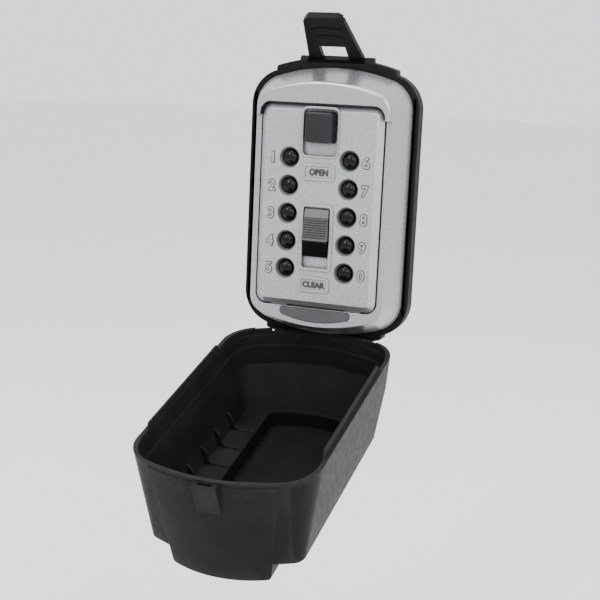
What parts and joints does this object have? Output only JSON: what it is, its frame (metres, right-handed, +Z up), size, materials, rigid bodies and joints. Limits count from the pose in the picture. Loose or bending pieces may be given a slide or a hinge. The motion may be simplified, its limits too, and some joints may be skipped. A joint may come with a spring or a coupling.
{
  "type": "key lock box",
  "caption": "Wall-mounted push-button key safe with a removable lid, a hinged weather cover standing open and a flip-up latch tab.",
  "frame": {"origin": "middle of the back face, on the wall", "axes": "+X to the right of someone facing the safe, +Y into the wall, +Z up"},
  "size_m": [0.081, 0.1383, 0.2263],
  "materials": {
    "frame_plastic": "fine-textured black moulding",
    "cover_plastic": "satin black moulding",
    "latch_plastic": "satin black moulding",
    "body_paint": "fine metallic silver paint on a die-casting",
    "lid_paint": "fine metallic silver paint on a die-casting",
    "name_grey": "dark grey, blank",
    "button_black": "glossy black",
    "lever_black": "satin black",
    "slider_black": "satin black",
    "plate_steel": "plain stamped sheet",
    "pin_steel": "drawn rod",
    "spring_steel": "drawn wire",
    "screw_steel": "zinc-plated",
    "screw_brass": "turned, plain"
  },
  "bodies": {
    "frame": {"back_frame": "frame_plastic", "hinge_pin": "pin_steel", "latch_pin": "pin_steel", "body_shell": "body_paint", "name_plate": "name_grey"},
    "cover": {"weather_cover": "cover_plastic"},
    "latch": {"cover_latch": "latch_plastic"},
    "door": {"lid": "lid_paint", "mechanism_plate": "plate_steel", "plate_screws": "screw_steel", "guide_plate": "plate_steel", "lever_spring": "spring_steel", "slider_spring": "spring_steel", "button_spring_1": "spring_steel", "button_spring_2": "spring_steel", "button_spring_3": "spring_steel", "button_spring_4": "spring_steel", "button_spring_5": "spring_steel", "button_spring_6": "spring_steel", "button_spring_7": "spring_steel", "button_spring_8": "spring_steel", "button_spring_9": "spring_steel", "button_spring_0": "spring_steel"},
    "lever": {"open_lever": "lever_black", "latch_plate": "plate_steel", "latch_bolt": "plate_steel"},
    "slider": {"clear_slider": "slider_black", "release_plate": "plate_steel"},
    "key_1": {"button_1": "button_black"},
    "code_1": {"code_screw_1": "screw_brass"},
    "key_2": {"button_2": "button_black"},
    "code_2": {"code_screw_2": "screw_brass"},
    "key_3": {"button_3": "button_black"},
    "code_3": {"code_screw_3": "screw_brass"},
    "key_4": {"button_4": "button_black"},
    "code_4": {"code_screw_4": "screw_brass"},
    "key_5": {"button_5": "button_black"},
    "code_5": {"code_screw_5": "screw_brass"},
    "key_6": {"button_6": "button_black"},
    "code_6": {"code_screw_6": "screw_brass"},
    "key_7": {"button_7": "button_black"},
    "code_7": {"code_screw_7": "screw_brass"},
    "key_8": {"button_8": "button_black"},
    "code_8": {"code_screw_8": "screw_brass"},
    "key_9": {"button_9": "button_black"},
    "code_9": {"code_screw_9": "screw_brass"},
    "key_0": {"button_0": "button_black"},
    "code_0": {"code_screw_0": "screw_brass"}
  },
  "joints": [
    {"name": "cover_hinge", "type": "hinge", "parent": "frame", "child": "cover", "pos_m": [0, -0.012, -0.0633], "axis": [1, 0, 0], "range_deg": [-107, 0]},
    {"name": "latch_hinge", "type": "hinge", "parent": "frame", "child": "latch", "pos_m": [0, -0.0044, 0.0651], "axis": [-1, 0, 0], "range_deg": [-24.4, 45]},
    {"name": "lid_tilt", "type": "hinge", "parent": "frame", "child": "door", "pos_m": [0, -0.0187, -0.0479], "axis": [1, 0, 0], "range_deg": [0, 26]},
    {"name": "lever_slide", "type": "slide", "parent": "door", "child": "lever", "axis": [0, 0, -1], "range_m": [0, 0.0055], "stiffness_N_per_m": 300, "springref_m": -0.003, "deforming": ["lever_spring"]},
    {"name": "slider_slide", "type": "slide", "parent": "door", "child": "slider", "axis": [0, 0, -1], "range_m": [0, 0.0048], "stiffness_N_per_m": 300, "springref_m": -0.003, "deforming": ["slider_spring"]},
    {"name": "press_1", "type": "slide", "parent": "door", "child": "key_1", "axis": [0, 1, 0], "range_m": [0, 0.0018], "stiffness_N_per_m": 250, "springref_m": -0.001, "deforming": ["button_spring_1"]},
    {"name": "press_2", "type": "slide", "parent": "door", "child": "key_2", "axis": [0, 1, 0], "range_m": [0, 0.0018], "stiffness_N_per_m": 250, "springref_m": -0.001, "deforming": ["button_spring_2"]},
    {"name": "press_3", "type": "slide", "parent": "door", "child": "key_3", "axis": [0, 1, 0], "range_m": [0, 0.0018], "stiffness_N_per_m": 250, "springref_m": -0.001, "deforming": ["button_spring_3"]},
    {"name": "press_4", "type": "slide", "parent": "door", "child": "key_4", "axis": [0, 1, 0], "range_m": [0, 0.0018], "stiffness_N_per_m": 250, "springref_m": -0.001, "deforming": ["button_spring_4"]},
    {"name": "press_5", "type": "slide", "parent": "door", "child": "key_5", "axis": [0, 1, 0], "range_m": [0, 0.0018], "stiffness_N_per_m": 250, "springref_m": -0.001, "deforming": ["button_spring_5"]},
    {"name": "press_6", "type": "slide", "parent": "door", "child": "key_6", "axis": [0, 1, 0], "range_m": [0, 0.0018], "stiffness_N_per_m": 250, "springref_m": -0.001, "deforming": ["button_spring_6"]},
    {"name": "press_7", "type": "slide", "parent": "door", "child": "key_7", "axis": [0, 1, 0], "range_m": [0, 0.0018], "stiffness_N_per_m": 250, "springref_m": -0.001, "deforming": ["button_spring_7"]},
    {"name": "press_8", "type": "slide", "parent": "door", "child": "key_8", "axis": [0, 1, 0], "range_m": [0, 0.0018], "stiffness_N_per_m": 250, "springref_m": -0.001, "deforming": ["button_spring_8"]},
    {"name": "press_9", "type": "slide", "parent": "door", "child": "key_9", "axis": [0, 1, 0], "range_m": [0, 0.0018], "stiffness_N_per_m": 250, "springref_m": -0.001, "deforming": ["button_spring_9"]},
    {"name": "press_0", "type": "slide", "parent": "door", "child": "key_0", "axis": [0, 1, 0], "range_m": [0, 0.0018], "stiffness_N_per_m": 250, "springref_m": -0.001, "deforming": ["button_spring_0"]},
    {"name": "turn_1", "type": "hinge", "parent": "door", "child": "code_1", "pos_m": [-0.0143, -0.013, 0.0211], "axis": [0, 1, 0], "range_deg": [0, 180]},
    {"name": "turn_2", "type": "hinge", "parent": "door", "child": "code_2", "pos_m": [-0.0143, -0.013, 0.0084], "axis": [0, 1, 0], "range_deg": [0, 180]},
    {"name": "turn_3", "type": "hinge", "parent": "door", "child": "code_3", "pos_m": [-0.0143, -0.013, -0.0043], "axis": [0, 1, 0], "range_deg": [0, 180]},
    {"name": "turn_4", "type": "hinge", "parent": "door", "child": "code_4", "pos_m": [-0.0143, -0.013, -0.017], "axis": [0, 1, 0], "range_deg": [0, 180]},
    {"name": "turn_5", "type": "hinge", "parent": "door", "child": "code_5", "pos_m": [-0.0143, -0.013, -0.0297], "axis": [0, 1, 0], "range_deg": [0, 180]},
    {"name": "turn_6", "type": "hinge", "parent": "door", "child": "code_6", "pos_m": [0.0143, -0.013, 0.0211], "axis": [0, 1, 0], "range_deg": [0, 180]},
    {"name": "turn_7", "type": "hinge", "parent": "door", "child": "code_7", "pos_m": [0.0143, -0.013, 0.0084], "axis": [0, 1, 0], "range_deg": [0, 180]},
    {"name": "turn_8", "type": "hinge", "parent": "door", "child": "code_8", "pos_m": [0.0143, -0.013, -0.0043], "axis": [0, 1, 0], "range_deg": [0, 180]},
    {"name": "turn_9", "type": "hinge", "parent": "door", "child": "code_9", "pos_m": [0.0143, -0.013, -0.017], "axis": [0, 1, 0], "range_deg": [0, 180]},
    {"name": "turn_0", "type": "hinge", "parent": "door", "child": "code_0", "pos_m": [0.0143, -0.013, -0.0297], "axis": [0, 1, 0], "range_deg": [0, 180]}
  ]
}
